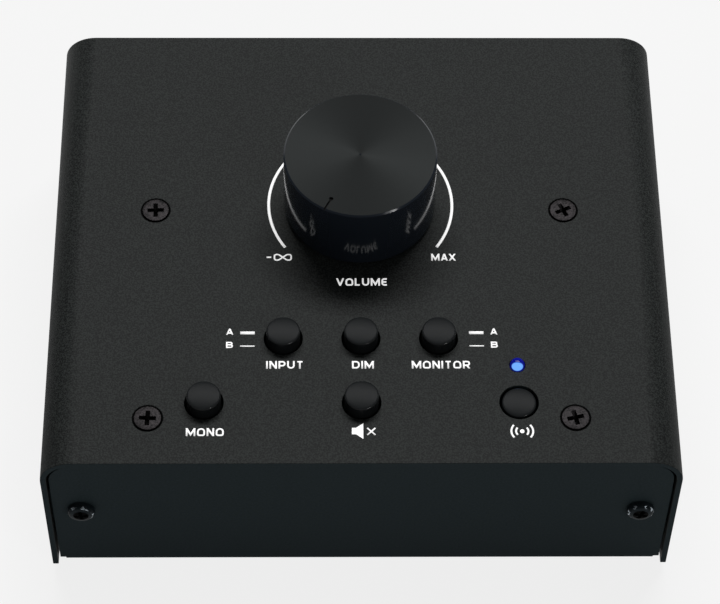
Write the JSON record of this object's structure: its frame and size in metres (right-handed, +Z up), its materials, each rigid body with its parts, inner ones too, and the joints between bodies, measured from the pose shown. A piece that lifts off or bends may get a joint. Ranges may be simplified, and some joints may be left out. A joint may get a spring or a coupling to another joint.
{
  "type": "studio monitor controller",
  "caption": "Desktop studio monitor controller: folded black steel case with a large turned volume knob, round push buttons, status lamp and rear audio sockets.",
  "frame": {"origin": "on the surface it stands on, under the middle of the case", "axes": "+Z up, +X to the user's right, +Y from the user towards the sockets"},
  "size_m": [0.13, 0.1128, 0.0607],
  "materials": {
    "case_paint": "black fine-texture powder coat on folded steel",
    "zinc_steel": "zinc plated, satin",
    "black_screws": "black oxide, slightly shiny",
    "nickel_brass": "nickel plated, bright",
    "nickel_steel": "nickel plated",
    "circuit_board": "green solder mask on glass-fibre board",
    "chip_plastic": "moulded epoxy",
    "capacitor_plastic": "moulded case",
    "module_shield": "tinned shield can on a small board",
    "shaft_aluminium": "turned, bare",
    "knob_aluminium": "black anodised, spun top, glossy turned side",
    "lamp_lens": "blue tinted clear epoxy, lit",
    "socket_plastic": "moulded nylon",
    "foot_rubber": "matt moulded rubber",
    "button_plastic": "moulded ABS, fine satin",
    "plunger_plastic": "moulded acetal, off-white",
    "switch_plastic": "moulded case"
  },
  "bodies": {
    "case": {"top_cover": "case_paint", "bottom_pan": "case_paint", "screw_brackets": "zinc_steel", "top_screws": "black_screws", "front_screws": "black_screws", "rear_screws": "black_screws", "standoffs": "nickel_brass", "main_board": "circuit_board", "audio_chips": "chip_plastic", "film_capacitors": "capacitor_plastic", "receiver_module": "module_shield", "pot_housing": "zinc_steel", "pot_pins": "nickel_brass", "pot_bushing": "nickel_brass", "pot_nut": "nickel_steel", "lamp_lens": "lamp_lens", "lamp_leads": "nickel_brass", "jack_sockets": "socket_plastic", "mini_socket": "socket_plastic", "power_inlet": "socket_plastic", "foot_front_left": "foot_rubber", "foot_front_right": "foot_rubber", "foot_back_left": "foot_rubber", "foot_back_right": "foot_rubber", "input_switch": "switch_plastic", "dim_switch": "switch_plastic", "monitor_switch": "switch_plastic", "mono_switch": "switch_plastic", "mute_switch": "switch_plastic", "wireless_switch": "switch_plastic"},
    "knob": {"volume_knob": "knob_aluminium", "pot_shaft": "shaft_aluminium", "knob_grub_screw": "black_screws"},
    "input_button": {"input_button": "button_plastic", "input_plunger": "plunger_plastic"},
    "dim_button": {"dim_button": "button_plastic", "dim_plunger": "plunger_plastic"},
    "monitor_button": {"monitor_button": "button_plastic", "monitor_plunger": "plunger_plastic"},
    "mono_button": {"mono_button": "button_plastic", "mono_plunger": "plunger_plastic"},
    "mute_button": {"mute_button": "button_plastic", "mute_plunger": "plunger_plastic"},
    "wireless_button": {"wireless_button": "button_plastic", "wireless_plunger": "plunger_plastic"}
  },
  "joints": [
    {"name": "volume_turn", "type": "hinge", "parent": "case", "child": "knob", "pos_m": [0, 0.0092, 0.0431], "axis": [0, 0, 1], "range_deg": [-304, 0]},
    {"name": "input_press", "type": "slide", "parent": "case", "child": "input_button", "axis": [0, 0, 1], "range_m": [-0.0033, 0], "stiffness_N_per_m": 300, "springref_m": 0.002},
    {"name": "dim_press", "type": "slide", "parent": "case", "child": "dim_button", "axis": [0, 0, 1], "range_m": [-0.0033, 0], "stiffness_N_per_m": 300, "springref_m": 0.002},
    {"name": "monitor_press", "type": "slide", "parent": "case", "child": "monitor_button", "axis": [0, 0, 1], "range_m": [-0.0033, 0], "stiffness_N_per_m": 300, "springref_m": 0.002},
    {"name": "mono_press", "type": "slide", "parent": "case", "child": "mono_button", "axis": [0, 0, 1], "range_m": [-0.0033, 0], "stiffness_N_per_m": 300, "springref_m": 0.002},
    {"name": "mute_press", "type": "slide", "parent": "case", "child": "mute_button", "axis": [0, 0, 1], "range_m": [-0.0033, 0], "stiffness_N_per_m": 300, "springref_m": 0.002},
    {"name": "wireless_press", "type": "slide", "parent": "case", "child": "wireless_button", "axis": [0, 0, 1], "range_m": [-0.00045, 0.00285], "stiffness_N_per_m": 300}
  ]
}
